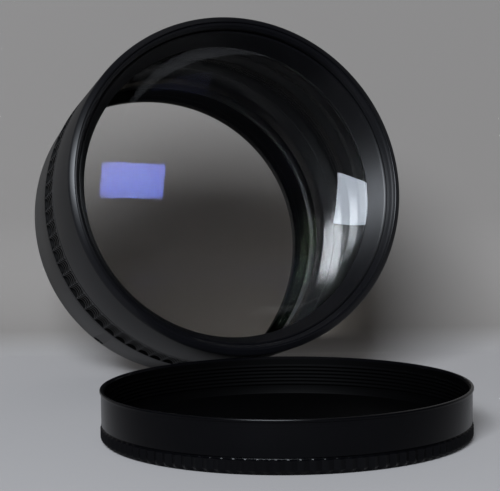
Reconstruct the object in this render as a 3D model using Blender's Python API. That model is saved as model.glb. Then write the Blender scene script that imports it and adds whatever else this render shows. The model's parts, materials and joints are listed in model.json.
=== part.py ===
"""A large telescope lens unit, propped on the rim of its own metal dust cap.

Every machined ring, lens, seat, screw and the cap is a separate object. Sizes are in millimetres
and are turned into metres when a mesh is made. The cap stands on z = 0 with its open side up and
its axis on Z. The lens unit's pieces are all turned about one optical axis: an empty at the centre
of the front rim carries them, and its tilt is worked out from the two places where the unit rests.
"""
import math

import bmesh
import bpy
from mathutils import Matrix, Vector

MM = 0.001
GAP = 0.3                     # air left between two pieces that touch on the real object

# Outer shell, with depths measured back from the front rim
BODY_R = 50.0
FRONT_BAND_END = 23.7
GRIP_START = FRONT_BAND_END + GAP
GRIP_END = 38.4
HOUSING_START = GRIP_END + GAP
HOUSING_START_R = 49.9
HOUSING_END = 61.2
HOUSING_END_R = 49.0          # radius of the edge that rests on the table
EDGE_CHAMFER = 0.6
HOUSING_BORE_R = 45.4
REAR_WALL_START = 56.0
REAR_WALL_BORE_R = 38.3
SPIGOT_R = 47.0               # plain tube of the front cell, over which the grip ring sits
SPIGOT_END = 42.0

# Grip band
FLUTES = 78
FLUTE_VALLEY_R = 49.1
GRIP_LAND = 1.2               # plain collar at each end of the flutes

# Front glass and the ring that holds it
FRONT_LENS_R = 45.3
FRONT_FACE_RADIUS = 90.0      # radius of curvature, bulging to the front
BACK_FACE_RADIUS = 620.0      # radius of curvature, bulging to the back
FRONT_LENS_START = 12.62      # depth of the glass at its front edge
FRONT_LENS_EDGE = 3.2
THREAD_R = 47.1               # wall of the front thread
THREAD_START = 1.2
RING_R = THREAD_R - GAP
RING_START = 3.7
RING_END = 10.6
RING_FRONT_BORE_R = 46.0
RING_BACK_BORE_R = 43.5
SEAT_START = 16.25
SEAT_END = 16.85
LEDGE_BORE_R = 43.4
LEDGE_START = SEAT_END + GAP
LEDGE_END = 20.5

# Cone behind the front glass and the ring that holds the rear cell
CONE_START = LEDGE_END + GAP
CONE_START_R = 43.0
CONE_END = 54.9
CONE_END_R = 37.6
CONE_WALL = 1.4
CONE_LEDGES = (               # (radius, depth) of each ledge's inner and outer edge, back to front
    (38.5, 38.4), (40.8, 38.0),
    (41.1, 23.5), (42.9, 23.2),
)
INNER_FIT_R = HOUSING_BORE_R - GAP
CLAMP_START = CONE_END + GAP
CLAMP_END = 59.4
CLAMP_END_R = 32.5
CLAMP_FUNNEL_R = 33.6         # inner edge of the shallow funnel at the clamp's front
CLAMP_FUNNEL_END = CLAMP_START + 1.0

# Rear glass and its cell
CELL_START = CLAMP_END + GAP
CELL_END = 70.4
CELL_R = REAR_WALL_BORE_R - GAP
CELL_BORE_R = 33.9
CELL_LIP_R = 30.0             # clear opening at the back
REAR_LENS_R = CELL_BORE_R - GAP
REAR_FACE_RADIUS = 230.0      # radius of curvature of both hollow faces
CUSHION_END = CELL_START + 0.4
REAR_FRONT_START = CUSHION_END + GAP
REAR_FRONT_EDGE = 4.0
SPACER_START = REAR_FRONT_START + REAR_FRONT_EDGE + GAP
SPACER_END = SPACER_START + 0.4
REAR_BACK_START = SPACER_END + GAP
REAR_BACK_EDGE = 3.4
CELL_LIP_START = REAR_BACK_START + REAR_BACK_EDGE + GAP

# Rear thread ring
ADAPTER_START = HOUSING_END + GAP
ADAPTER_END = 69.2
ADAPTER_R = 46.3

# Small screws
SCREW_CIRCLE_R = 42.3
SCREW_HEAD_R = 2.0
SCREW_HEAD_START = 67.3
SCREW_HEAD_END = 69.0
SCREW_SHANK_R = 1.2
SCREW_TIP = 58.0
SET_SCREW_R = 1.5
SET_SCREW_DEPTH = 58.6
SET_SCREW_INNER = 44.8
SET_SCREW_OUTER = 48.4
SOCKET_R = 0.9
SOCKET_DEPTH = 0.8
SCREW_ANGLES = (109.5, 229.5, 349.5)

# Dust cap
CAP_R = 47.64
CAP_LIP_R = 47.97
CAP_INNER_R = 46.7
CAP_HEIGHT = 13.09
CAP_FLOOR = 2.6
CAP_KNURL_TOP = 3.3
CAP_TEETH = 104
CAP_KNURL_R = 47.9
CAP_VALLEY_R = 47.15

# Pose of the lens unit
AZIMUTH = math.radians(17.64)  # turn of the optical axis away from -Y
FRONT_X = -11.67               # sideways place of the front rim's centre
LIP_GAP = GAP                  # air between the barrel and the cap's lip
OVERHANG = 1.5                 # how far behind the front rim the lip carries the barrel

OUTER_STEPS = 64
INNER_STEPS = 40
SCREW_STEPS = 12

SHARP_ANGLE = math.radians(25.0)


def material(name, colour, roughness, metallic, transmission=0.0):
    """A Principled material with the piece's plain colour and finish."""
    mat = bpy.data.materials.new(name)
    mat.use_nodes = True
    shader = mat.node_tree.nodes["Principled BSDF"]
    shader.inputs["Base Color"].default_value = (*colour, 1.0)
    shader.inputs["Roughness"].default_value = roughness
    shader.inputs["Metallic"].default_value = metallic
    shader.inputs["Transmission Weight"].default_value = transmission
    return mat


def lathe(outline, steps):
    """A bmesh made by turning a closed (radius, height) outline in mm about the Z axis."""
    bm = bmesh.new()
    verts = [bm.verts.new((radius * MM, 0.0, height * MM)) for radius, height in outline]
    edges = []
    for first, second in zip(verts, verts[1:] + verts[:1]):
        on_axis = first.co.x == 0.0 and second.co.x == 0.0
        if not on_axis:
            edges.append(bm.edges.new((first, second)))
    bmesh.ops.spin(bm, geom=verts + edges, cent=(0, 0, 0), axis=(0, 0, 1),
                   angle=math.tau, steps=steps, use_duplicate=False)
    bmesh.ops.remove_doubles(bm, verts=bm.verts, dist=1e-6)
    bmesh.ops.recalc_face_normals(bm, faces=bm.faces)
    if bm.calc_volume(signed=True) < 0.0:
        bmesh.ops.reverse_faces(bm, faces=bm.faces)
    return bm


def add_object(name, bm, mat, parent=None):
    """Turn a bmesh into a smooth-shaded object with one material."""
    mesh = bpy.data.meshes.new(name)
    bm.to_mesh(mesh)
    bm.free()
    mesh.materials.append(mat)
    mesh.shade_smooth()
    mesh.set_sharp_from_angle(angle=SHARP_ANGLE)
    obj = bpy.data.objects.new(name, mesh)
    bpy.context.scene.collection.objects.link(obj)
    obj.parent = parent
    return obj


def depths(outline):
    """A (radius, depth) outline as (radius, height), because depth runs down the optical axis."""
    return [(radius, -depth) for radius, depth in outline]


def ring(name, outline, mat, parent, steps=INNER_STEPS):
    """One turned piece of the lens unit."""
    return add_object(name, lathe(depths(outline), steps), mat, parent)


def sag(curvature_radius, radius):
    """How far a ball face of this curvature radius falls away at a distance from its middle."""
    return curvature_radius - math.sqrt(curvature_radius ** 2 - radius ** 2)


def lens_face(curvature_radius, rim_radius, rim_depth, step, count=6):
    """Points of a lens face from its middle to its rim.

    The step is +1 when the middle stands further forward than the rim, and a curvature radius of
    None gives a flat face.
    """
    if curvature_radius is None:
        return [(0.0, rim_depth), (rim_radius, rim_depth)]
    radii = [rim_radius * i / count for i in range(count + 1)]
    full = sag(curvature_radius, rim_radius)
    return [(r, rim_depth - step * (full - sag(curvature_radius, r))) for r in radii]


def lens_outline(front, back):
    """Half the section of a lens, from its middle over the rim and back to its middle."""
    return front + back[::-1]


def notch_band(bm, low, high, min_radius, valley_radius):
    """Cut a notch between each two neighbouring points of the outer rings in a height band (mm)."""
    def in_band(vert):
        return low * MM <= vert.co.z <= high * MM and vert.co.xy.length >= min_radius * MM

    rims = []
    for edge in bm.edges:
        first, second = edge.verts
        if in_band(first) and in_band(second) and abs(first.co.z - second.co.z) < 1e-7:
            rims.append(edge)
    made = bmesh.ops.subdivide_edges(bm, edges=rims, cuts=1)
    for vert in made["geom_inner"]:
        if isinstance(vert, bmesh.types.BMVert):
            scale = valley_radius * MM / vert.co.xy.length
            vert.co.x *= scale
            vert.co.y *= scale


def cutter(name, bm, parent):
    """A hidden tool body for a Boolean cut."""
    obj = add_object(name, bm, bpy.data.materials["cutter"], parent)
    obj.hide_render = True
    obj.display_type = 'WIRE'
    return obj


def cut(target, tool):
    """Keep a live Boolean difference on the target."""
    modifier = target.modifiers.new(tool.name, 'BOOLEAN')
    modifier.operation = 'DIFFERENCE'
    modifier.solver = 'EXACT'
    modifier.object = tool


def bar(bm, radius, start, end, steps, place):
    """Add a closed round bar between two heights, moved by a matrix."""
    length = end - start
    shift = Matrix.Translation((0, 0, (start + end) / 2 * MM))
    bmesh.ops.create_cone(bm, cap_ends=True, segments=steps, radius1=radius * MM,
                          radius2=radius * MM, depth=length * MM, matrix=place @ shift)


def on_circle(angle):
    """Place of a screw that runs along the optical axis."""
    turn = Matrix.Rotation(math.radians(angle), 4, 'Z')
    return turn @ Matrix.Translation((SCREW_CIRCLE_R * MM, 0, 0))


def outwards(angle):
    """Place of a set screw, whose own height runs outwards from the optical axis."""
    turn = Matrix.Rotation(math.radians(angle), 4, 'Z')
    lie_down = Matrix.Rotation(math.radians(90.0), 4, 'Y')
    return turn @ Matrix.Translation((0, 0, -SET_SCREW_DEPTH * MM)) @ lie_down


def tilt_of_unit(cap_top):
    """Angle that lays the rear edge on the floor and the barrel on the cap's lip.

    The height of the barrel's underside at the lip is along * sin + across * cos of the tilt.
    """
    along = HOUSING_END - EDGE_CHAMFER - OVERHANG
    across = HOUSING_END_R - BODY_R
    height = cap_top + LIP_GAP
    return math.asin(height / math.hypot(along, across)) - math.atan2(across, along)


def place_unit():
    """The empty on the optical axis at the front rim, with its +Z out of the front."""
    tilt = tilt_of_unit(CAP_HEIGHT)
    front = Vector((math.sin(AZIMUTH) * math.cos(tilt), -math.cos(AZIMUTH) * math.cos(tilt),
                    math.sin(tilt)))
    up = Vector((-math.sin(AZIMUTH) * math.sin(tilt), math.cos(AZIMUTH) * math.sin(tilt),
                 math.cos(tilt)))
    right = up.cross(front)
    rest_from_centre = -OVERHANG * front - BODY_R * up
    rest_x = FRONT_X + rest_from_centre.x
    lip_middle = CAP_R - 0.04
    rest_y = math.sqrt(lip_middle ** 2 - rest_x ** 2)
    front_y = rest_y - rest_from_centre.y
    front_z = (HOUSING_END - EDGE_CHAMFER) * math.sin(tilt) + HOUSING_END_R * math.cos(tilt)
    turn = Matrix((right, up, front)).transposed().to_4x4()
    empty = bpy.data.objects.new("optical_axis", None)
    bpy.context.scene.collection.objects.link(empty)
    empty.matrix_world = Matrix.Translation(Vector((FRONT_X, front_y, front_z)) * MM) @ turn
    return empty


def make_shell(axis, mats):
    """The three outer pieces: front cell, grip ring and rear housing."""
    lens_bore_r = FRONT_LENS_R + 0.35
    lens_bore_start = RING_END + GAP + 0.1
    ring("front_cell", [
        (48.8, 0.0), (49.6, 0.35), (BODY_R, 1.3), (BODY_R, FRONT_BAND_END),
        (SPIGOT_R, FRONT_BAND_END), (SPIGOT_R, SPIGOT_END), (HOUSING_BORE_R, SPIGOT_END),
        (HOUSING_BORE_R, LEDGE_END), (LEDGE_BORE_R, LEDGE_END), (LEDGE_BORE_R, LEDGE_START),
        (lens_bore_r, LEDGE_START), (lens_bore_r, lens_bore_start),
        (THREAD_R, lens_bore_start), (THREAD_R, THREAD_START), (47.7, 0.6), (48.3, 0.6),
        (48.3, 0.0),
    ], mats["anodised"], axis, OUTER_STEPS)

    socket_r = SPIGOT_R + GAP
    grip = lathe(depths([
        (socket_r, GRIP_START), (BODY_R - 0.25, GRIP_START), (BODY_R, GRIP_START + 0.25),
        (BODY_R, GRIP_START + GRIP_LAND), (BODY_R, GRIP_END - GRIP_LAND),
        (BODY_R, GRIP_END - 0.25), (BODY_R - 0.25, GRIP_END), (socket_r, GRIP_END),
    ]), FLUTES)
    notch_band(grip, GRIP_LAND - GRIP_END - 0.1, 0.1 - GRIP_START - GRIP_LAND, BODY_R - 1.0,
               FLUTE_VALLEY_R)
    add_object("grip_ring", grip, mats["anodised"], axis)

    socket_end = SPIGOT_END + 0.4
    housing = ring("rear_housing", [
        (socket_r, HOUSING_START), (HOUSING_START_R, HOUSING_START),
        (HOUSING_END_R, HOUSING_END - EDGE_CHAMFER),
        (HOUSING_END_R - EDGE_CHAMFER, HOUSING_END), (REAR_WALL_BORE_R, HOUSING_END),
        (REAR_WALL_BORE_R, REAR_WALL_START), (HOUSING_BORE_R, REAR_WALL_START),
        (HOUSING_BORE_R, socket_end), (socket_r, socket_end),
    ], mats["anodised"], axis, OUTER_STEPS)

    axial = bmesh.new()
    radial = bmesh.new()
    for angle in SCREW_ANGLES:
        bar(axial, SCREW_SHANK_R + GAP, -(HOUSING_END + 1.0), GAP - SCREW_TIP,
            SCREW_STEPS, on_circle(angle))
        bar(radial, SET_SCREW_R + GAP, SET_SCREW_INNER - GAP, BODY_R + 2.0, SCREW_STEPS,
            outwards(angle))
    cut(housing, cutter("housing_axial_holes", axial, axis))
    cut(housing, cutter("housing_radial_holes", radial, axis))


def make_front_optics(axis, mats):
    """Everything that the front rim holds, from the bezel ring down to the seat."""
    ring("front_retaining_ring", [
        (RING_FRONT_BORE_R, RING_START), (RING_R, RING_START), (RING_R, RING_END),
        (RING_BACK_BORE_R, RING_END), (RING_BACK_BORE_R, RING_END - 0.4),
    ], mats["anodised"], axis, OUTER_STEPS)
    ring("front_cushion_ring", [
        (43.7, 10.9), (45.2, 10.9), (45.2, 11.3), (43.7, 11.3),
    ], mats["rubber"], axis)
    front = lens_face(FRONT_FACE_RADIUS, FRONT_LENS_R, FRONT_LENS_START, 1)
    back = lens_face(BACK_FACE_RADIUS, FRONT_LENS_R, FRONT_LENS_START + FRONT_LENS_EDGE, -1)
    ring("front_lens", lens_outline(front, back), mats["glass"], axis, OUTER_STEPS)
    ring("front_seat_ring", [
        (43.7, SEAT_START), (FRONT_LENS_R, SEAT_START), (FRONT_LENS_R, SEAT_END),
        (43.7, SEAT_END),
    ], mats["plastic"], axis)


def make_inner_barrel(axis, mats):
    """The glossy ledged cone behind the front glass and the ring that holds the rear cell."""
    ring("baffle_tube", [
        (CONE_START_R, CONE_START), (INNER_FIT_R, CONE_START), (INNER_FIT_R, CONE_START + 3.2),
        (CONE_START_R - 0.5 + CONE_WALL, CONE_START + 3.2), (CONE_END_R + CONE_WALL, CONE_END),
        (CONE_END_R, CONE_END), *CONE_LEDGES,
    ], mats["gloss"], axis, OUTER_STEPS)
    ring("middle_retaining_ring", [
        (CONE_END_R, CLAMP_START), (INNER_FIT_R, CLAMP_START), (INNER_FIT_R, CLAMP_START + 0.5),
        (CELL_R, CLAMP_START + 0.5), (CELL_R, CLAMP_END), (CLAMP_END_R, CLAMP_END),
        (CLAMP_FUNNEL_R, CLAMP_FUNNEL_END),
    ], mats["gloss"], axis, OUTER_STEPS)


def make_rear_optics(axis, mats):
    """The two rear lenses in their cell, hollow on their outer sides, with a spacer between."""
    ring("rear_cell", [
        (CELL_BORE_R, CELL_START), (CELL_R, CELL_START), (CELL_R, CELL_END),
        (CELL_LIP_R, CELL_END), (CELL_LIP_R, CELL_LIP_START), (CELL_BORE_R, CELL_LIP_START),
    ], mats["gloss"], axis, OUTER_STEPS)
    ring("rear_cushion_ring", [
        (32.7, CELL_START), (REAR_LENS_R, CELL_START), (REAR_LENS_R, CUSHION_END),
        (32.7, CUSHION_END),
    ], mats["rubber"], axis)
    front = lens_face(REAR_FACE_RADIUS, REAR_LENS_R, REAR_FRONT_START, -1)
    back = lens_face(None, REAR_LENS_R, REAR_FRONT_START + REAR_FRONT_EDGE, 1)
    ring("rear_lens_front", lens_outline(front, back), mats["glass"], axis)
    ring("rear_spacer_ring", [
        (32.0, SPACER_START), (REAR_LENS_R, SPACER_START), (REAR_LENS_R, SPACER_END),
        (32.0, SPACER_END),
    ], mats["plastic"], axis)
    front = lens_face(None, REAR_LENS_R, REAR_BACK_START, 1)
    back = lens_face(REAR_FACE_RADIUS, REAR_LENS_R, REAR_BACK_START + REAR_BACK_EDGE, 1)
    ring("rear_lens_back", lens_outline(front, back), mats["glass"], axis)


def make_adapter(axis, mats):
    """The rear thread ring, with its counterbored screw holes."""
    adapter = ring("rear_thread_adapter", [
        (REAR_WALL_BORE_R, ADAPTER_START), (45.7, ADAPTER_START), (45.7, ADAPTER_START + 1.2),
        (ADAPTER_R, ADAPTER_START + 1.6), (ADAPTER_R, ADAPTER_END - 0.5),
        (ADAPTER_R - 0.5, ADAPTER_END), (REAR_WALL_BORE_R, ADAPTER_END),
    ], mats["anodised"], axis, OUTER_STEPS)
    holes = bmesh.new()
    counterbores = bmesh.new()
    for angle in SCREW_ANGLES:
        bar(holes, SCREW_SHANK_R + GAP, -(ADAPTER_END + 1.0), -(ADAPTER_START - 1.0),
            SCREW_STEPS, on_circle(angle))
        bar(counterbores, SCREW_HEAD_R + GAP, -(ADAPTER_END + 1.0), GAP - SCREW_HEAD_START,
            SCREW_STEPS, on_circle(angle))
    cut(adapter, cutter("adapter_holes", holes, axis))
    cut(adapter, cutter("adapter_counterbores", counterbores, axis))


def make_screws(axis, mats):
    """Three cap screws through the adapter and three set screws through the housing wall."""
    cap_screw = depths([
        (0.0, SCREW_HEAD_END - SOCKET_DEPTH), (SOCKET_R, SCREW_HEAD_END - SOCKET_DEPTH),
        (SOCKET_R, SCREW_HEAD_END), (SCREW_HEAD_R, SCREW_HEAD_END),
        (SCREW_HEAD_R, SCREW_HEAD_START), (SCREW_SHANK_R, SCREW_HEAD_START),
        (SCREW_SHANK_R, SCREW_TIP), (0.0, SCREW_TIP),
    ])
    set_screw = [
        (0.0, SET_SCREW_OUTER - SOCKET_DEPTH), (SOCKET_R, SET_SCREW_OUTER - SOCKET_DEPTH),
        (SOCKET_R, SET_SCREW_OUTER), (SET_SCREW_R, SET_SCREW_OUTER),
        (SET_SCREW_R, SET_SCREW_INNER + 0.3), (SET_SCREW_R - 0.3, SET_SCREW_INNER),
        (0.0, SET_SCREW_INNER),
    ]
    for number, angle in enumerate(SCREW_ANGLES, start=1):
        body = lathe(cap_screw, SCREW_STEPS)
        bmesh.ops.transform(body, matrix=on_circle(angle), verts=body.verts)
        add_object(f"adapter_screw_{number}", body, mats["screw"], axis)
        body = lathe(set_screw, SCREW_STEPS)
        bmesh.ops.transform(body, matrix=outwards(angle), verts=body.verts)
        add_object(f"set_screw_{number}", body, mats["screw"], axis)


def make_cap(mats):
    """The turned dust cap, closed side down, with a toothed edge round its base."""
    cap = lathe([
        (0.0, CAP_FLOOR), (CAP_INNER_R, CAP_FLOOR), (CAP_INNER_R, CAP_HEIGHT - 0.7),
        (CAP_INNER_R + 0.56, CAP_HEIGHT), (CAP_LIP_R - 0.4, CAP_HEIGHT),
        (CAP_LIP_R, CAP_HEIGHT - 0.3), (CAP_LIP_R, CAP_HEIGHT - 0.7), (CAP_R, CAP_HEIGHT - 0.95),
        (CAP_R, CAP_KNURL_TOP + 0.7), (CAP_R - 0.5, CAP_KNURL_TOP + 0.2),
        (CAP_KNURL_R, CAP_KNURL_TOP), (CAP_KNURL_R, 0.8), (CAP_KNURL_R - 0.8, 0.0), (0.0, 0.0),
    ], CAP_TEETH)
    notch_band(cap, 0.7, CAP_KNURL_TOP + 0.1, CAP_R - 0.1, CAP_VALLEY_R)
    add_object("cap", cap, mats["anodised"])


def main():
    for obj in list(bpy.data.objects):
        bpy.data.objects.remove(obj, do_unlink=True)
    mats = {
        "anodised": material("black_anodised_aluminium", (0.012, 0.012, 0.015), 0.35, 0.6),
        "gloss": material("black_anodised_polished", (0.008, 0.008, 0.010), 0.12, 0.6),
        "glass": material("coated_optical_glass", (0.95, 0.97, 1.0), 0.0, 0.0, 1.0),
        "rubber": material("black_rubber", (0.01, 0.01, 0.01), 0.7, 0.0),
        "plastic": material("black_acetal", (0.015, 0.015, 0.015), 0.5, 0.0),
        "screw": material("blackened_steel", (0.02, 0.02, 0.02), 0.4, 0.9),
    }
    material("cutter", (0.8, 0.2, 0.2), 0.5, 0.0)
    axis = place_unit()
    make_shell(axis, mats)
    make_front_optics(axis, mats)
    make_inner_barrel(axis, mats)
    make_rear_optics(axis, mats)
    make_adapter(axis, mats)
    make_screws(axis, mats)
    make_cap(mats)


main()
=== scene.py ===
# %% [markdown]
# # A telescope lens unit and its dust cap
#
# The object is a short, wide barrel of turned black aluminium with a big coated lens in its front,
# a fluted band to grip it by, and a smaller pair of lenses at the back. It leans on the rim of its
# own screw-on dust cap. Nearly every piece was made on a lathe, so nearly every piece here is made
# the same way: a circle of edges is extruded along an outline and closed.

# %% Load the frame
import json
import math

import bpy
import numpy as np
from mathutils import Matrix, Vector


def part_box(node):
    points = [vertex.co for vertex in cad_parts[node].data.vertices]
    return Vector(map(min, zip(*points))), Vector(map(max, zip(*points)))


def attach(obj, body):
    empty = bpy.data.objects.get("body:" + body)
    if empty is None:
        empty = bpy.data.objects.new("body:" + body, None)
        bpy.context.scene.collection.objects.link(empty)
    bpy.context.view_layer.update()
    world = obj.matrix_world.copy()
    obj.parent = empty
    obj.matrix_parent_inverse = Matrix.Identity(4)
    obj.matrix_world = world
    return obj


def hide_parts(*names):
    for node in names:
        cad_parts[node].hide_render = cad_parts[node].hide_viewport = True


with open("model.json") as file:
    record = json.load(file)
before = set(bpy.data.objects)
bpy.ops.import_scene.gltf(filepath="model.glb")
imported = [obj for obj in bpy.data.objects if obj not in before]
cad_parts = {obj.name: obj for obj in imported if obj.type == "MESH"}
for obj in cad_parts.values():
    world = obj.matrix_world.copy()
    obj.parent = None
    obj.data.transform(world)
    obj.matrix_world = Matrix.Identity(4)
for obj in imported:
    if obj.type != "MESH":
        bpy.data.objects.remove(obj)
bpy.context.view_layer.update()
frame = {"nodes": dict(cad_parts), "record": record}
bpy.ops.object.select_all(action='DESELECT')
MM = 0.001
print("CAD pieces:", len(frame["nodes"]))

# %% [markdown]
# ## Where the optical axis runs
#
# The barrel lies tilted, so its pieces are modelled upright at the origin, with the front rim at
# height 0 and the rest below it, and are then moved into place together. The record's rear face
# gives the direction of the axis. The seat behind the front lens is a plain ring, so the middle of
# its box is a point on the axis.

# %% Find the optical axis
SEAT_MIDDLE = 16.55           # depth of the seat ring's middle behind the front rim, in mm

rear_face = next(mount for mount in frame["record"]["mounts"] if mount["name"] == "rear_face")
front_way = -Vector(rear_face["axis"]).normalized()
up_way = (Vector((0, 0, 1)) - front_way * front_way.z).normalized()
right_way = up_way.cross(front_way)
seat_low, seat_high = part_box("front_seat_ring")
front_centre = (seat_low + seat_high) / 2 + front_way * SEAT_MIDDLE * MM
unit_place = Matrix.Translation(front_centre) @ Matrix(
    (right_way, up_way, front_way)).transposed().to_4x4()
print("front rim's centre in mm:", [round(value / MM, 2) for value in front_centre])

# %% [markdown]
# ## Camera
#
# The view is from a table's height: a long lens a little under half a metre in front of the cap,
# looking slightly down, with a very small roll.

# %% Set the camera
CAMERA_PLACE = (-8.9, -433.0, 86.7)    # mm
CAMERA_PITCH = 4.96                    # degrees below the horizon
CAMERA_ROLL = -0.69                    # degrees
FOCAL_LENGTH = 122.4                   # mm, on a sensor 36 mm wide

camera_data = bpy.data.cameras.new("camera")
camera_data.lens = FOCAL_LENGTH
camera_data.sensor_width = 36.0
camera_data.clip_start = 0.01
camera = bpy.data.objects.new("camera", camera_data)
bpy.context.scene.collection.objects.link(camera)
look = Matrix.Rotation(math.radians(90.0 - CAMERA_PITCH), 4, 'X')
roll = Matrix.Rotation(math.radians(CAMERA_ROLL), 4, 'Z')
camera.matrix_world = Matrix.Translation(Vector(CAMERA_PLACE) * MM) @ look @ roll
bpy.context.scene.camera = camera
bpy.context.scene.view_settings.view_transform = 'Standard'
print("camera height in mm:", CAMERA_PLACE[2])

# %% [markdown]
# ## Turning a piece
#
# On a lathe a piece is one outline swept round an axis. Here a circle is the first point of the
# outline, and each further point is an extrusion of that circle, moved along the axis and scaled to
# its new radius. A ring's last circle is bridged to its first, and a solid disc has its two ends
# filled. This was chosen over the Screw modifier because the outline's points and the number of
# steps stay in hand, which the flutes and teeth need.


# %% Helper: turn an outline
def turned_piece(name, outline, steps=192, ring=True):
    """A piece turned about Z from (radius, height) points in mm, closed into a ring or a solid."""
    bpy.ops.object.select_all(action='DESELECT')
    radius, height = outline[0]
    bpy.ops.mesh.primitive_circle_add(vertices=steps, radius=radius * MM, location=(0, 0, height * MM))
    bpy.ops.object.transform_apply(location=True, rotation=False, scale=False)
    piece = bpy.context.object
    piece.name = name
    piece.data.name = name
    bpy.ops.object.mode_set(mode='EDIT')
    bpy.ops.mesh.select_mode(type='EDGE')
    bpy.ops.mesh.select_all(action='SELECT')
    for (old_radius, old_height), (radius, height) in zip(outline, outline[1:]):
        bpy.ops.mesh.extrude_region_move(
            TRANSFORM_OT_translate={"value": (0, 0, (height - old_height) * MM)})
        scale = radius / old_radius
        bpy.ops.transform.resize(value=(scale, scale, 1), center_override=(0, 0, height * MM))
    bpy.ops.mesh.select_all(action='DESELECT')
    bpy.ops.mesh.select_non_manifold()
    if ring:
        bpy.ops.mesh.bridge_edge_loops()
    else:
        bpy.ops.mesh.fill_holes(sides=0)
    bpy.ops.mesh.select_all(action='SELECT')
    bpy.ops.mesh.normals_make_consistent(inside=False)
    bpy.ops.object.mode_set(mode='OBJECT')
    return piece


# %% Helpers: finish a piece and put it in place
SMOOTH_ANGLE = math.radians(32.0)


def finish_piece(piece, body, materials, nodes, place=None, smooth=SMOOTH_ANGLE):
    """Shade a piece, apply its place, give it its material, and tie it to the frame."""
    bpy.ops.object.select_all(action='DESELECT')
    piece.select_set(True)
    bpy.context.view_layer.objects.active = piece
    bpy.ops.object.shade_smooth_by_angle(angle=smooth)
    if place is not None:
        piece.matrix_world = place @ piece.matrix_world
    bpy.ops.object.transform_apply(location=True, rotation=True, scale=True)
    for material in materials:
        piece.data.materials.append(material)
    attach(piece, body)
    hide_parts(*nodes)
    piece.select_set(False)
    print(piece.name, "faces:", len(piece.data.polygons))


def from_depths(outline):
    """(radius, depth) points of the barrel as (radius, height), because depth runs downwards."""
    return [(radius, -depth) for radius, depth in outline]


# %% [markdown]
# ## Nodes and colours
#
# Every material is a small tree of nodes. One function adds a node with its settings and its
# inputs, and one turns an sRGB hex colour, as a paint chart gives it, into the linear values that a
# shader works in.


# %% Helpers: nodes and colours
def hex_colour(code):
    """An sRGB colour such as '1b1b1e' as linear red, green, blue and alpha."""
    parts = [int(code[i:i + 2], 16) / 255 for i in (0, 2, 4)]
    linear = [part / 12.92 if part <= 0.04045 else ((part + 0.055) / 1.055) ** 2.4 for part in parts]
    return (*linear, 1.0)


def add_node(tree, kind, inputs=None, **settings):
    """Add a node, set its properties, and set or link its inputs by name."""
    node = tree.nodes.new(kind)
    for key, value in settings.items():
        setattr(node, key, value)
    for key, value in (inputs or {}).items():
        if isinstance(value, bpy.types.NodeSocket):
            tree.links.new(value, node.inputs[key])
        else:
            node.inputs[key].default_value = value
    return node


def new_material(name):
    """An empty material with a Principled shader: (material, tree, shader)."""
    material = bpy.data.materials.new(name)
    material.use_nodes = True
    tree = material.node_tree
    return material, tree, tree.nodes["Principled BSDF"]


def set_shader(shader, **values):
    """Set the shader's own sockets; an underscore stands for a space."""
    for key, value in values.items():
        shader.inputs[key.replace("_", " ")].default_value = value


# %% [markdown]
# ## Black anodised aluminium
#
# The barrel and the cap are aluminium, turned on a lathe and then anodised black. The dye sits in a
# clear layer of oxide, so the metal's own shine is subdued and the surface looks like satin. The
# tool leaves very fine rings. They follow both the side and the end faces, so the pattern is read
# along the sum of the height and the radius, as a one-dimensional noise. Real turning marks are
# about 0.1 mm apart, and they are drawn 0.35 mm apart here, so that they still show. The marks too
# fine to draw spread the light across themselves, which is what the shader's anisotropy is for: it
# needs to know which way is round.


# %% Make turned, anodised aluminium
TURNING_PITCH = 0.35          # mm, drawn coarser than the real 0.1 mm


def lathe_coordinate(tree, place):
    """Height plus radius about the piece's own axis, in mm."""
    coords = add_node(tree, "ShaderNodeTexCoord")
    local = add_node(tree, "ShaderNodeMapping", {"Vector": coords.outputs["Object"]},
                     vector_type='TEXTURE')
    local.inputs["Location"].default_value = place.translation
    local.inputs["Rotation"].default_value = place.to_euler()
    split = add_node(tree, "ShaderNodeSeparateXYZ", {"Vector": local.outputs["Vector"]})
    flat = add_node(tree, "ShaderNodeCombineXYZ", {"X": split.outputs["X"], "Y": split.outputs["Y"]})
    radius = add_node(tree, "ShaderNodeVectorMath", {0: flat.outputs["Vector"]}, operation='LENGTH')
    total = add_node(tree, "ShaderNodeMath", {0: split.outputs["Z"], 1: radius.outputs["Value"]},
                     operation='ADD')
    in_mm = add_node(tree, "ShaderNodeMath", {0: total.outputs["Value"], 1: 1 / MM},
                     operation='MULTIPLY')
    round_way = add_node(tree, "ShaderNodeVectorMath", {0: (0, 0, 1), 1: flat.outputs["Vector"]},
                         operation='CROSS_PRODUCT')
    placed_way = add_node(tree, "ShaderNodeMapping", {"Vector": round_way.outputs["Vector"]},
                          vector_type='VECTOR')
    placed_way.inputs["Rotation"].default_value = place.to_euler()
    tangent = add_node(tree, "ShaderNodeVectorMath", {0: placed_way.outputs["Vector"]},
                       operation='NORMALIZE')
    return in_mm.outputs["Value"], local.outputs["Vector"], tangent.outputs["Vector"]


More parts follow.
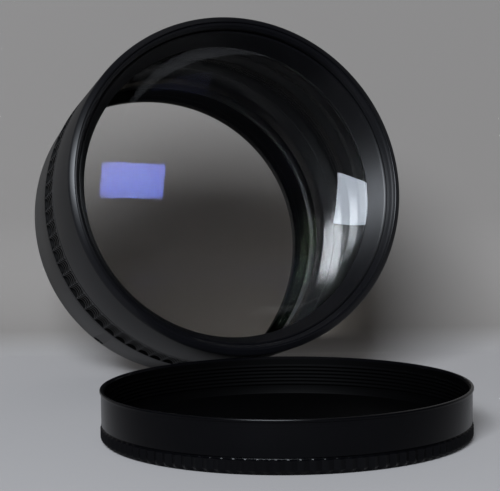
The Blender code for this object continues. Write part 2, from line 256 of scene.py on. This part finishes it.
def anodised_aluminium(name, place, dark, light, roughness, groove=0.35, shine=0.5, streak=0.0):
    """Black anodised aluminium with turning rings about the axis of a placed piece."""
    material, tree, shader = new_material(name)
    along, local, tangent = lathe_coordinate(tree, place)
    rings_at = add_node(tree, "ShaderNodeMath", {0: along, 1: 1 / TURNING_PITCH}, operation='MULTIPLY')
    rings = add_node(tree, "ShaderNodeTexNoise", {"W": rings_at.outputs["Value"], "Scale": 1.0,
                                                  "Detail": 2.0, "Roughness": 0.6},
                     noise_dimensions='1D')
    cloud = add_node(tree, "ShaderNodeTexNoise", {"Vector": local, "Scale": 90.0, "Detail": 3.0})
    mixed = add_node(tree, "ShaderNodeMath", {0: rings.outputs["Fac"], 1: cloud.outputs["Fac"]},
                     operation='MULTIPLY')
    colour = add_node(tree, "ShaderNodeMix", {"Factor": mixed.outputs["Value"], "A": hex_colour(dark),
                                              "B": hex_colour(light)}, data_type='RGBA')
    tree.links.new(colour.outputs[2], shader.inputs["Base Color"])
    rough = add_node(tree, "ShaderNodeMapRange", {"Value": rings.outputs["Fac"],
                                                  "To Min": roughness * 0.8, "To Max": roughness * 1.2})
    tree.links.new(rough.outputs["Result"], shader.inputs["Roughness"])
    bump = add_node(tree, "ShaderNodeBump", {"Strength": groove, "Distance": 0.02 * MM,
                                             "Height": rings.outputs["Fac"]})
    tree.links.new(bump.outputs["Normal"], shader.inputs["Normal"])
    tree.links.new(tangent, shader.inputs["Tangent"])
    set_shader(shader, Specular_IOR_Level=shine, Anisotropic=streak, Anisotropic_Rotation=0.25)
    return material


upright = Matrix.Identity(4)
satin_body = anodised_aluminium("black anodised aluminium, satin turned", unit_place, "060608", "0d0d10",
                                0.34, groove=0.3, shine=0.22, streak=0.85)
satin_ring = anodised_aluminium("black anodised aluminium, fine turned", unit_place, "040406", "08080b",
                                0.45, groove=0.5, shine=0.45, streak=1.0)
gloss_barrel = anodised_aluminium("black anodised aluminium, polished", unit_place, "020203", "040406",
                                  0.25, groove=0.05, shine=0.35, streak=0.7)
satin_cap = anodised_aluminium("black anodised aluminium, satin turned cap", upright, "030304", "070709",
                               0.25, groove=0.1, shine=0.07)
# The cap's inside: matt, and darker in colour as painted shade.
cap_inside_painted_shade = anodised_aluminium("black anodised aluminium, matt cap inside, painted shade", upright, "010101", "020203",
                              0.6, groove=0.15, shine=0.03)
# A darker, duller copy of the finish, laid in the grip ring's grooves as painted shade.
groove_painted_shade = anodised_aluminium("black anodised aluminium, cut grooves, painted shade", unit_place, "010101",
                                  "030304", 0.6, groove=0.2, shine=0.05)
print("anodised finishes:", 6)

# %% [markdown]
# ## Coated optical glass
#
# Each lens is clear crown or flint glass under a vacuum-deposited coating a quarter of a wave
# thick. The coating is far too thin to see, but it cancels green in the reflection and leaves
# violet, or the other way round, so the reflections are tinted and what is seen through the glass
# is not. On the shader, that is the specular tint. The front lens reflects violet in front and
# nearly plain behind, the rear pair reflects green, and ground edges are painted black.


# %% Make the glass
def coated_glass(name, tint, ior):
    """Clear optical glass whose reflections carry the coating's colour."""
    material, tree, shader = new_material(name)
    set_shader(shader, Base_Color=(1, 1, 1, 1), Transmission_Weight=1.0, IOR=ior, Roughness=0.0,
               Specular_Tint=hex_colour(tint))
    return material


violet_glass = coated_glass("optical crown glass, violet coating", "424a81", 1.52)
plain_glass = coated_glass("optical crown glass, pale coating", "f4f8ff", 1.52)
green_glass = coated_glass("optical flint glass, green coating", "20261a", 1.70)
print("glass finishes:", 3)

# %% [markdown]
# ## Rubber, acetal and blackened steel
#
# The small rings between metal and glass are matt: a rubber cushion that can give, and acetal seats
# that can't. The screws are steel with a black oxide.


# %% Make the small parts' materials
def matt_black(name, colour, roughness, grain):
    """A dull black with a fine moulded grain; the grain's size is in mm."""
    material, tree, shader = new_material(name)
    coords = add_node(tree, "ShaderNodeTexCoord")
    noise = add_node(tree, "ShaderNodeTexNoise", {"Vector": coords.outputs["Object"],
                                                  "Scale": 1 / (grain * MM), "Detail": 2.0})
    bump = add_node(tree, "ShaderNodeBump", {"Strength": 0.3, "Distance": 0.02 * MM,
                                             "Height": noise.outputs["Fac"]})
    tree.links.new(bump.outputs["Normal"], shader.inputs["Normal"])
    set_shader(shader, Base_Color=hex_colour(colour), Roughness=roughness)
    return material


rubber = matt_black("moulded black rubber", "0c0c0c", 0.75, 0.4)
acetal = matt_black("turned black acetal", "0c0c0e", 0.5, 0.8)
edge_paint = matt_black("black lens edge paint", "050506", 0.6, 0.3)


def blackened_steel():
    """Steel with black oxide: metal, dark, with slight unevenness."""
    material, tree, shader = new_material("blackened steel")
    coords = add_node(tree, "ShaderNodeTexCoord")
    noise = add_node(tree, "ShaderNodeTexNoise", {"Vector": coords.outputs["Object"], "Scale": 1500.0})
    rough = add_node(tree, "ShaderNodeMapRange", {"Value": noise.outputs["Fac"], "To Min": 0.3,
                                                  "To Max": 0.5})
    tree.links.new(rough.outputs["Result"], shader.inputs["Roughness"])
    set_shader(shader, Base_Color=hex_colour("2c2b2a"), Metallic=0.9)
    return material


screw_steel = blackened_steel()
print("small parts' finishes:", 4)

# %% [markdown]
# ## The front cell
#
# This is the widest piece: the smooth front band of the barrel, a stepped front rim, a female
# thread behind it, the pocket that the lens drops into, and a long thin spigot at the back that
# carries the grip ring. The thread's ridges are rings 0.75 mm apart, because at this size a helix
# looks the same.

# %% Turn the front cell
BODY_R = 50.0
THREAD_R = 47.1


def thread_ridges(root, crest, start, end, pitch):
    """Outline points of V-shaped ridges between two depths."""
    count = int((end - start) / pitch)
    points = []
    for number in range(count):
        depth = start + number * pitch
        points.append((root, depth))
        points.append((crest, depth + pitch / 2))
    points.append((root, start + count * pitch))
    return points


front_thread = thread_ridges(THREAD_R, THREAD_R - 0.35, 1.25, 3.5, 0.75)
front_cell = turned_piece("front_cell_turned", from_depths([
    (48.35, 0.0), (49.45, 0.46), (49.8, 0.85), (BODY_R, 1.4), (BODY_R, 23.5), (49.8, 23.7), (47.0, 23.7),
    (47.0, 42.0), (45.4, 42.0), (45.4, 20.5), (43.4, 20.5), (43.4, 17.15), (45.65, 17.15), (45.65, 11.0),
    (THREAD_R, 11.0), *reversed(front_thread), (47.25, 0.95), (47.7, 0.6), (48.2, 0.6), (48.25, 0.05),
]), steps=256)
finish_piece(front_cell, "lens_unit", [satin_body], ["front_cell"], unit_place)

# %% [markdown]
# ## The grip ring
#
# Seventy-eight shallow scallops run round the grip ring, with thin plain lands between them, and a
# few fine turned grooves cross each one. The ring is first turned smooth with the grooves, with
# eight columns of points to each scallop and its land. Then every column but the two on the land is
# scaled towards the axis, by an arc's depth, so one operator shapes all the scallops at once.

# %% Turn and flute the grip ring
GRIP_START = 24.0
GRIP_END = 38.4
GRIP_BORE_R = 47.3
FLUTES = 78
COLUMNS = 8                   # columns of points to one scallop
FLUTE_DEPTH = 0.85
FLUTE_START = 25.4
FLUTE_END = 37.0
CROSS_GROOVES = 5


def pull_columns(piece, columns, depth_at, low, high, radius):
    """Scale the columns of an outer band towards the axis; depth_at gives each column's depth."""
    mesh = piece.data
    count = len(mesh.vertices)
    places = np.zeros(count * 3, np.float32)
    mesh.vertices.foreach_get("co", places)
    places = places.reshape(-1, 3) / MM
    from_axis = np.hypot(places[:, 0], places[:, 1])
    turn = np.arctan2(places[:, 1], places[:, 0]) / math.tau * columns["total"]
    column = np.rint(turn).astype(int) % columns["each"]
    band = (places[:, 2] > low) & (places[:, 2] < high) & (from_axis > radius - 1.0)
    for number in range(1, columns["each"]):
        mesh.polygons.foreach_set("select", np.zeros(len(mesh.polygons), bool))
        mesh.edges.foreach_set("select", np.zeros(len(mesh.edges), bool))
        mesh.vertices.foreach_set("select", band & (column == number))
        bpy.context.view_layer.objects.active = piece
        piece.select_set(True)
        bpy.ops.object.mode_set(mode='EDIT')
        scale = 1 - depth_at(number / columns["each"]) / radius
        bpy.ops.transform.resize(value=(scale, scale, 1), center_override=(0, 0, 0))
        bpy.ops.object.mode_set(mode='OBJECT')


def select_by_points():
    """Make edit mode pick points, so that a selection set on the mesh's points is kept."""
    bpy.context.tool_settings.mesh_select_mode = (True, False, False)


def cross_grooves(start, end, count, radius, depth):
    """Outline points of flat-bottomed grooves, evenly spaced between two depths."""
    pitch = (end - start) / count
    points = []
    for number in range(count):
        for part, drop in ((0.04, 0.0), (0.34, 0.0), (0.42, depth), (0.9, depth)):
            points.append((radius - drop, start + (number + part) * pitch))
    return points


GROOVE_DEPTH = 0.3
LAND_COLUMNS = 2              # columns of points left at full height, which make the land


def scallop_depth(part):
    """Depth of a scallop across its width, nothing on the land."""
    across = part * COLUMNS / (COLUMNS - LAND_COLUMNS + 1)
    return FLUTE_DEPTH * math.sin(math.pi * across) ** 0.6 if across < 1 else 0.0


grip_ring = turned_piece("grip_ring_fluted", from_depths([
    (GRIP_BORE_R, GRIP_START), (49.8, GRIP_START), (BODY_R, GRIP_START + 0.2),
    (BODY_R, FLUTE_START - 0.25),
    *cross_grooves(FLUTE_START, FLUTE_END, CROSS_GROOVES, BODY_R, 0.22),
    (BODY_R, FLUTE_END + 0.25), (BODY_R, GRIP_END - 0.2), (49.8, GRIP_END), (GRIP_BORE_R, GRIP_END),
]), steps=FLUTES * COLUMNS)
# Faces in the cut grooves off the land take the darker copy of the finish: painted shade.
for face in grip_ring.data.polygons:
    from_axis = math.hypot(face.center.x, face.center.y) / MM
    turn = math.atan2(face.center.y, face.center.x) / math.tau * FLUTES * COLUMNS
    on_land = turn % COLUMNS > COLUMNS - LAND_COLUMNS + 1
    in_band = FLUTE_START - 0.3 < -face.center.z / MM < FLUTE_END + 0.3
    face.material_index = int(in_band and not on_land and 49.0 < from_axis < BODY_R - GROOVE_DEPTH / 4)
select_by_points()
pull_columns(grip_ring, {"total": FLUTES * COLUMNS, "each": COLUMNS},
             scallop_depth, -FLUTE_END, -FLUTE_START, BODY_R)
finish_piece(grip_ring, "lens_unit", [satin_body, groove_painted_shade], ["grip_ring"],
             unit_place, smooth=math.radians(25.0))

# %% [markdown]
# ## The rear housing
#
# The rear housing tapers slightly to the edge that the unit stands on. Three holes for small set
# screws are drilled into its side and three for the ring's screws into its back: a Boolean takes a
# cylinder out of it for each.

# %% Turn and drill the rear housing
SCREW_ANGLES = (109.5, 229.5, 349.5)
SCREW_CIRCLE_R = 42.3
SET_SCREW_DEPTH = 58.6
HOUSING_END = 61.2


def along_axis(angle):
    """Place of a hole or screw that runs along the optical axis."""
    turn = Matrix.Rotation(math.radians(angle), 4, 'Z')
    return turn @ Matrix.Translation((SCREW_CIRCLE_R * MM, 0, 0))


def outwards(angle):
    """Place of a hole or screw that points straight out of the barrel's side."""
    turn = Matrix.Rotation(math.radians(angle), 4, 'Z')
    lie_down = Matrix.Rotation(math.radians(90.0), 4, 'Y')
    return turn @ Matrix.Translation((0, 0, -SET_SCREW_DEPTH * MM)) @ lie_down


def drill(piece, place, radius, start, end):
    """Take a round hole out of a piece, from one height to another in the drill's own place."""
    bpy.ops.object.select_all(action='DESELECT')
    bpy.ops.mesh.primitive_cylinder_add(vertices=32, radius=radius * MM, depth=(end - start) * MM,
                                        location=(0, 0, (start + end) / 2 * MM))
    tool = bpy.context.object
    tool.matrix_world = place @ tool.matrix_world
    hole = piece.modifiers.new("hole", 'BOOLEAN')
    hole.object = tool
    hole.operation = 'DIFFERENCE'
    hole.solver = 'EXACT'
    bpy.context.view_layer.objects.active = piece
    bpy.ops.object.modifier_apply(modifier=hole.name)
    bpy.data.objects.remove(tool)


rear_housing = turned_piece("rear_housing_turned", from_depths([
    (47.3, 38.7), (49.75, 38.7), (49.9, 38.85), (49.02, 60.4), (48.85, 60.85), (48.4, 61.2),
    (38.3, HOUSING_END), (38.3, 56.0), (45.4, 56.0), (45.4, 42.4), (47.3, 42.4),
]), steps=256)
for angle in SCREW_ANGLES:
    drill(rear_housing, outwards(angle), 1.8, 44.5, 55.0)
    drill(rear_housing, along_axis(angle), 1.5, -66.0, -57.7)
finish_piece(rear_housing, "lens_unit", [satin_body], ["rear_housing"], unit_place)

# %% [markdown]
# ## The ring in front of the glass
#
# A wide conical ring screws down onto the lens. It is what makes the dark frame round the glass,
# with one soft highlight on its right.

# %% Turn the front retaining ring
front_retaining_ring = turned_piece("front_retaining_ring_turned", from_depths([
    (46.0, 3.7), (46.35, 3.6), (46.8, 3.9), (46.8, 10.6), (43.5, 10.6), (43.5, 10.2),
]), steps=256)
finish_piece(front_retaining_ring, "lens_unit", [satin_ring],
             ["front_retaining_ring"], unit_place)

# %% [markdown]
# ## The lenses
#
# A lens is two ball faces on one axis, and its rays only bend properly if the faces are smooth and
# exact. So each face is an outline of many points on its arc, turned with many steps and shaded
# smooth. The front lens bulges on both sides. The rear pair are hollow on their outer sides and
# flat where they face each other.


# %% Turn the lenses
def sag(curve, radius):
    """How far a ball face falls away at this distance from its middle."""
    return curve - math.sqrt(curve ** 2 - radius ** 2)


def lens_face(curve, rim_radius, rim_depth, way, count=28):
    """Points of a face, middle to rim; way is +1 if its middle stands further forward."""
    inner = 0.4
    if curve is None:
        return [(inner, rim_depth), (rim_radius, rim_depth)]
    radii = [inner + (rim_radius - inner) * i / count for i in range(count + 1)]
    full = sag(curve, rim_radius)
    return [(r, rim_depth - way * (full - sag(curve, r))) for r in radii]


def make_lens(name, node, front_glass, back_glass, front, back):
    """A lens from its two faces, with its ground edge painted black between them."""
    lens = turned_piece(name, from_depths(front + back[::-1]), steps=256, ring=False)
    rim_radius, rim_front = front[-1]
    rim_back = back[-1][1]
    for face in lens.data.polygons:
        radius = math.hypot(face.center.x, face.center.y) / MM
        depth = -face.center.z / MM
        if radius > rim_radius - 0.02 and rim_front < depth < rim_back:
            face.material_index = 2
        elif depth > (rim_front + rim_back) / 2 - (face.normal.z > 0) * 50:
            face.material_index = int(face.normal.z < 0)
    finish_piece(lens, "lens_unit", [front_glass, back_glass, edge_paint], [node], unit_place,
                 smooth=math.radians(20.0))


FRONT_CURVE = 90.0            # radii of the ball faces, in mm
BACK_CURVE = 620.0
REAR_CURVE = 230.0
FRONT_LENS_RIM = 45.3
FRONT_LENS_DEPTHS = (12.62, 15.82)
make_lens("front_lens_coated", "front_lens", violet_glass, plain_glass,
          lens_face(FRONT_CURVE, FRONT_LENS_RIM, FRONT_LENS_DEPTHS[0], 1),
          lens_face(BACK_CURVE, FRONT_LENS_RIM, FRONT_LENS_DEPTHS[1], -1))
make_lens("rear_lens_front_coated", "rear_lens_front", green_glass, green_glass,
          lens_face(REAR_CURVE, 33.6, 60.4, -1), lens_face(None, 33.6, 64.4, 1))
make_lens("rear_lens_back_coated", "rear_lens_back", green_glass, green_glass,
          lens_face(None, 33.6, 65.4, 1), lens_face(REAR_CURVE, 33.6, 68.8, 1))

# %% [markdown]
# ## The inner barrel
#
# Behind the front lens the barrel narrows in a polished cone with a small ledge at each end. The
# clamp behind it has a shallow funnel in its front, and the glass at the end is held in a cell with
# a plain lip. These walls are glossy, and they pick up long bright streaks.

# %% Turn the inner barrel and the rear cell
baffle = turned_piece("baffle_tube_turned", from_depths([
    (43.0, 20.8), (45.1, 20.8), (45.1, 24.0), (43.9, 24.0), (39.0, 54.9), (37.6, 54.9),
    (38.4, 38.6), (38.6, 38.4), (40.8, 38.0), (41.0, 23.7), (41.2, 23.5), (42.9, 23.2),
]), steps=256)
finish_piece(baffle, "lens_unit", [gloss_barrel], ["baffle_tube"], unit_place)
middle_ring = turned_piece("middle_retaining_ring_turned", from_depths([
    (37.6, 55.2), (45.1, 55.2), (45.1, 55.7), (38.0, 55.7), (38.0, 59.4), (32.6, 59.4), (32.5, 59.3),
    (33.4, 56.5), (33.7, 56.2),
]), steps=256)
finish_piece(middle_ring, "lens_unit", [gloss_barrel],
             ["middle_retaining_ring"], unit_place)
rear_cell = turned_piece("rear_cell_turned", from_depths([
    (33.9, 59.7), (37.8, 59.7), (38.0, 59.9), (38.0, 70.1), (37.7, 70.4), (30.3, 70.4), (30.0, 70.2),
    (30.0, 69.1), (33.9, 69.1),
]), steps=256)
finish_piece(rear_cell, "lens_unit", [gloss_barrel], ["rear_cell"], unit_place)

# %% [markdown]
# ## The rear thread
#
# The back ends in a ring with a male thread, held on by three screws in counterbored holes. The
# thread's ridges are turned 1 mm apart.

# %% Turn and drill the thread ring
rear_thread = thread_ridges(45.75, 46.3, 63.2, 68.5, 1.0)
thread_ring = turned_piece("rear_thread_ring_turned", from_depths([
    (38.3, 61.5), (45.7, 61.5), (45.7, 62.9), *rear_thread, (45.9, 68.6), (45.9, 68.9), (45.6, 69.2),
    (38.5, 69.2), (38.3, 69.0),
]), steps=192)
for angle in SCREW_ANGLES:
    drill(thread_ring, along_axis(angle), 1.5, -75.0, -55.0)
    drill(thread_ring, along_axis(angle), 2.3, -75.0, -67.0)
satin_thread = anodised_aluminium("black anodised aluminium, threaded", unit_place,
                                  "0c0c0e", "16161a", 0.34, shine=0.3)
finish_piece(thread_ring, "lens_unit", [satin_thread],
             ["rear_thread_adapter"], unit_place)

# %% [markdown]
# ## Cushions, seats and spacer
#
# Thin rings keep glass off metal. They show only as dark lines through the lens, but the lens would
# look wrong without them.


# %% Turn the thin rings
def thin_ring(name, node, material, inner, outer, start, end):
    """A flat ring with softened corners."""
    soft = 0.1
    ring = turned_piece(name, from_depths([
        (inner, start + soft), (inner + soft, start), (outer - soft, start), (outer, start + soft),
        (outer, end - soft), (outer - soft, end), (inner + soft, end), (inner, end - soft),
    ]), steps=160)
    finish_piece(ring, "lens_unit", [material], [node], unit_place, smooth=math.radians(60.0))


thin_ring("front_cushion_moulded", "front_cushion_ring", rubber, 43.7, 45.2, 10.9, 11.3)
thin_ring("front_seat_turned", "front_seat_ring", acetal, 43.7, 45.3, 16.25, 16.85)
thin_ring("rear_cushion_moulded", "rear_cushion_ring", rubber, 32.7, 33.6, 59.7, 60.1)
thin_ring("rear_spacer_turned", "rear_spacer_ring", acetal, 32.0, 33.6, 64.7, 65.1)

# %% [markdown]
# ## Screws
#
# The six screws are socket screws: three with heads, sunk in the back, and three headless ones in
# the side. Each screw is turned, and a Boolean then takes a six-sided cylinder out of its top for
# the hexagon socket.


# %% Make the screws
def socket(piece, top, radius, depth):
    """Take a hexagon socket out of a screw's top."""
    bpy.ops.object.select_all(action='DESELECT')
    bpy.ops.mesh.primitive_cylinder_add(vertices=6, radius=radius * MM, depth=2 * depth * MM,
                                        location=(0, 0, top * MM))
    tool = bpy.context.object
    hole = piece.modifiers.new("socket", 'BOOLEAN')
    hole.object = tool
    hole.operation = 'DIFFERENCE'
    hole.solver = 'EXACT'
    bpy.context.view_layer.objects.active = piece
    bpy.ops.object.modifier_apply(modifier=hole.name)
    bpy.data.objects.remove(tool)


for number, angle in enumerate(SCREW_ANGLES, start=1):
    head_screw = turned_piece(f"adapter_screw_{number}_steel", [
        (0.2, -69.0), (1.85, -69.0), (2.0, -68.85), (2.0, -67.3), (1.2, -67.3), (1.2, -58.2),
        (1.0, -58.0), (0.2, -58.0),
    ], steps=32, ring=False)
    socket(head_screw, -69.0, 1.0, 0.9)
    finish_piece(head_screw, "lens_unit", [screw_steel], [f"adapter_screw_{number}"],
                 unit_place @ along_axis(angle))
    set_screw = turned_piece(f"set_screw_{number}_steel", [
        (0.2, 44.8), (1.2, 44.8), (1.5, 45.1), (1.5, 48.25), (1.35, 48.4), (0.2, 48.4),
    ], steps=32, ring=False)
    socket(set_screw, 48.4, 0.8, 0.8)
    finish_piece(set_screw, "lens_unit", [screw_steel], [f"set_screw_{number}"],
                 unit_place @ outwards(angle))

# %% [markdown]
# ## The dust cap
#
# The cap is turned from one disc: a flat floor, a thin wall with a female thread inside, a slightly
# proud rounded lip, and a band of teeth round its base to grip it by. It lies open side up, so its
# outside and its inside both show; the inside is matt, and painted darker as painted shade. As on
# the grip ring, the teeth are columns of points scaled towards the axis.

# %% Turn the cap and cut its teeth
CAP_R = 47.64
LIP_R = 47.97
CAP_BORE_R = 46.7
CAP_HEIGHT = 13.09
KNURL_TOP = 3.3
KNURL_R = 47.9
TEETH = 104
TOOTH_COLUMNS = 6
TOOTH_DEPTH = 0.65

cap_thread = thread_ridges(CAP_BORE_R, CAP_BORE_R - 0.3, 5.0, 11.2, 1.0)
cap = turned_piece("cap_turned", [
    (0.5, 2.6), (20.0, 2.6), (46.2, 2.6), (46.55, 2.7), (CAP_BORE_R, 3.0), *cap_thread,
    (CAP_BORE_R, 12.5), (46.95, 12.85), (47.26, CAP_HEIGHT), (47.65, CAP_HEIGHT), (47.88, 12.99),
    (LIP_R, 12.8), (LIP_R, 12.5), (47.88, 12.31), (CAP_R, 12.2), (CAP_R, 4.3), (47.55, 4.05),
    (47.3, 3.85), (47.2, 3.75), (47.25, 3.65), (47.7, 3.45), (KNURL_R, KNURL_TOP), (KNURL_R, 2.2),
    (KNURL_R, 0.85), (47.55, 0.4), (47.0, 0.0), (20.0, 0.0), (0.5, 0.0),
], steps=TEETH * TOOTH_COLUMNS, ring=False)
select_by_points()
pull_columns(cap, {"total": TEETH * TOOTH_COLUMNS, "each": TOOTH_COLUMNS},
             lambda part: TOOTH_DEPTH * (1 - abs(2 * part - 1)) ** 0.8, 0.3, KNURL_TOP + 0.2, KNURL_R)
finish_piece(cap, "cap", [satin_cap, cap_inside_painted_shade], ["cap"], smooth=math.radians(28.0))

# %% Give the cap's inside its matt finish and painted shade
for face in cap.data.polygons:
    inside = math.hypot(face.center.x, face.center.y) < 46.8 * MM and face.center.z > 1.0 * MM
    face.material_index = int(inside)
print("cap faces with the dull finish:", sum(face.material_index for face in cap.data.polygons))

# %% [markdown]
# ## Table and backdrop
#
# A pale sheet lies on the table and curves up behind the object, so there is no horizon. What shows
# through the lens is this sheet, in the unit's own shadow, and so the sheet stands quite close. It
# is seen only from its front, so that it doesn't hide the object from behind. Where it rises it has
# painted shade, a darker colour that stands in for the weaker light on it, and the table ends a
# little in front of the cap, so that the glass and the cap reflect a dark room.


# %% Make the table and the backdrop
SHEET_HALF_WIDTH = 0.45
BEND_START = 0.14
BEND_RADIUS = 0.045
BACKDROP_TOP = 0.30
TABLE_SIZE = 8.0
TABLE_FRONT = 0.14            # how far the pale table top reaches in front of the cap


def pale_sheet(name, low_colour, shaded_colour, one_sided):
    """Pale matt card with painted shade above the table, which can be left unseen from behind."""
    material, tree, shader = new_material(name)
    coords = add_node(tree, "ShaderNodeTexCoord")
    fibre = add_node(tree, "ShaderNodeTexNoise", {"Vector": coords.outputs["Object"], "Scale": 900.0,
                                                  "Detail": 3.0})
    bump = add_node(tree, "ShaderNodeBump", {"Strength": 0.15, "Distance": 0.05 * MM,
                                             "Height": fibre.outputs["Fac"]})
    tree.links.new(bump.outputs["Normal"], shader.inputs["Normal"])
    split = add_node(tree, "ShaderNodeSeparateXYZ", {"Vector": coords.outputs["Object"]})
    rise = add_node(tree, "ShaderNodeMapRange", {"Value": split.outputs["Y"],
                                                 "From Min": BEND_START,
                                                 "From Max": BEND_START + BEND_RADIUS / 2})
    # Painted shade: the colour darkens where the sheet rises from the table.
    painted_shade_mix = add_node(tree, "ShaderNodeMix", {"Factor": rise.outputs["Result"],
                                           "A": hex_colour(low_colour), "B": hex_colour(shaded_colour)},
                   data_type='RGBA')
    tree.links.new(painted_shade_mix.outputs[2], shader.inputs["Base Color"])
    set_shader(shader, Roughness=0.8, Specular_IOR_Level=0.2)
    if one_sided:
        side = add_node(tree, "ShaderNodeNewGeometry")
        clear = add_node(tree, "ShaderNodeBsdfTransparent")
        mix = add_node(tree, "ShaderNodeMixShader", {"Fac": side.outputs["Backfacing"],
                                                     1: shader.outputs["BSDF"],
                                                     2: clear.outputs["BSDF"]})
        tree.links.new(mix.outputs["Shader"], tree.nodes["Material Output"].inputs["Surface"])
    return material


bpy.ops.object.select_all(action='DESELECT')
bpy.ops.mesh.primitive_plane_add(size=TABLE_SIZE, location=(0, TABLE_SIZE / 2 - TABLE_FRONT, -0.0002))
table = bpy.context.object
table.name = "table_top"
table.data.materials.append(pale_sheet("pale matt table top", "a8a5a4", "a8a5a4", False))
bpy.ops.object.transform_apply(location=True, rotation=False, scale=False)

bpy.ops.object.select_all(action='DESELECT')
bpy.ops.mesh.primitive_plane_add(size=2 * SHEET_HALF_WIDTH, location=(0, 0, -0.0003))
sheet = bpy.context.object
sheet.name = "backdrop_sheet"
bpy.ops.object.mode_set(mode='EDIT')
bpy.ops.mesh.select_mode(type='VERT')
bpy.ops.object.mode_set(mode='OBJECT')
for part in (*sheet.data.polygons, *sheet.data.edges):
    part.select = False
for vertex in sheet.data.vertices:
    vertex.select = vertex.co.y > 0
    vertex.co.y = BEND_START if vertex.select else BEND_START - 0.01
bpy.ops.object.mode_set(mode='EDIT')
BEND_STEPS = 16
for step in range(BEND_STEPS):
    first = math.radians(90.0) * step / BEND_STEPS
    second = math.radians(90.0) * (step + 1) / BEND_STEPS
    move = (0, BEND_RADIUS * (math.sin(second) - math.sin(first)),
            BEND_RADIUS * (math.cos(first) - math.cos(second)))
    bpy.ops.mesh.extrude_region_move(TRANSFORM_OT_translate={"value": move})
bpy.ops.mesh.extrude_region_move(
    TRANSFORM_OT_translate={"value": (0, 0, BACKDROP_TOP - BEND_RADIUS)})
bpy.ops.mesh.select_all(action='SELECT')
bpy.ops.mesh.normals_make_consistent(inside=False)
bpy.ops.object.mode_set(mode='OBJECT')
if sheet.data.polygons[0].normal.z < 0:
    sheet.data.flip_normals()
bpy.ops.object.shade_smooth()
# The second, darker colour is painted shade on the part of the sheet that rises.
sheet.data.materials.append(pale_sheet("pale matt backdrop sheet", "a8a5a4", "77736f", True))
print("backdrop stands at", round(BEND_START + BEND_RADIUS, 3), "m behind the cap")

# %% [markdown]
# ## Light
#
# One window lights the object, from in front, high and a little to the left. Its reflection shows
# twice in the glass: once in the bulging front face, and once, turned about, in the back face. A
# broad soft light over the table fills the shadows, and the room in front is left dark, so black
# stays black. A third, very small light behind the unit stands for what the lens gathers there; its
# strength is given. The room looks brighter to the camera than the light it gives.


# %% Set the lights
def area_light(name, place, target, width, height, watts, colour=(1.0, 1.0, 1.0)):
    """A rectangular light at a place, facing a target; sizes in metres."""
    data = bpy.data.lights.new(name, 'AREA')
    data.shape = 'RECTANGLE'
    data.size = width
    data.size_y = height
    data.energy = watts
    data.color = colour
    light = bpy.data.objects.new(name, data)
    bpy.context.scene.collection.objects.link(light)
    light.location = place
    light.rotation_euler = (Vector(target) - Vector(place)).to_track_quat('-Z', 'Y').to_euler()
    return light


WINDOW_TURN = math.radians(-11.2)
WINDOW_RISE = math.radians(27.0)
WINDOW_DISTANCE = 1.8
WINDOW_WIDTH = 0.449 * WINDOW_DISTANCE
WINDOW_HEIGHT = 0.2527 * WINDOW_DISTANCE
WINDOW_WATTS = 60.0
OVERHEAD_WATTS = 0.8
GATHERED_WATTS = 0.004
ROOM_AS_LIGHT = 0.03
ROOM_AS_SEEN = 0.32
window_way = Vector((math.sin(WINDOW_TURN) * math.cos(WINDOW_RISE),
                     -math.cos(WINDOW_TURN) * math.cos(WINDOW_RISE), math.sin(WINDOW_RISE)))
window_place = front_centre + window_way * WINDOW_DISTANCE
area_light("window", window_place, front_centre, WINDOW_WIDTH, WINDOW_HEIGHT, WINDOW_WATTS,
           (0.86, 0.92, 1.0))
area_light("overhead", (0.0, -0.1, 1.4), (0, 0.05, 0), 0.8, 0.8, OVERHEAD_WATTS)

gathered = area_light("light_through_the_lens", (0.0, 0.155, 0.014), (0.0, 0.185, 0.016), 0.03, 0.01,
                      GATHERED_WATTS, (1.0, 0.98, 0.94))
gathered.visible_camera = False

world = bpy.data.worlds.new("room")
world.use_nodes = True
bpy.context.scene.world = world
room = world.node_tree.nodes["Background"]
sight = add_node(world.node_tree, "ShaderNodeLightPath")
strength = add_node(world.node_tree, "ShaderNodeMapRange", {"Value": sight.outputs["Is Camera Ray"],
                                                            "To Min": ROOM_AS_LIGHT,
                                                            "To Max": ROOM_AS_SEEN})
world.node_tree.links.new(strength.outputs["Result"], room.inputs["Strength"])
room.inputs["Color"].default_value = (0.95, 0.97, 1.0, 1.0)
print("lights:", 3)
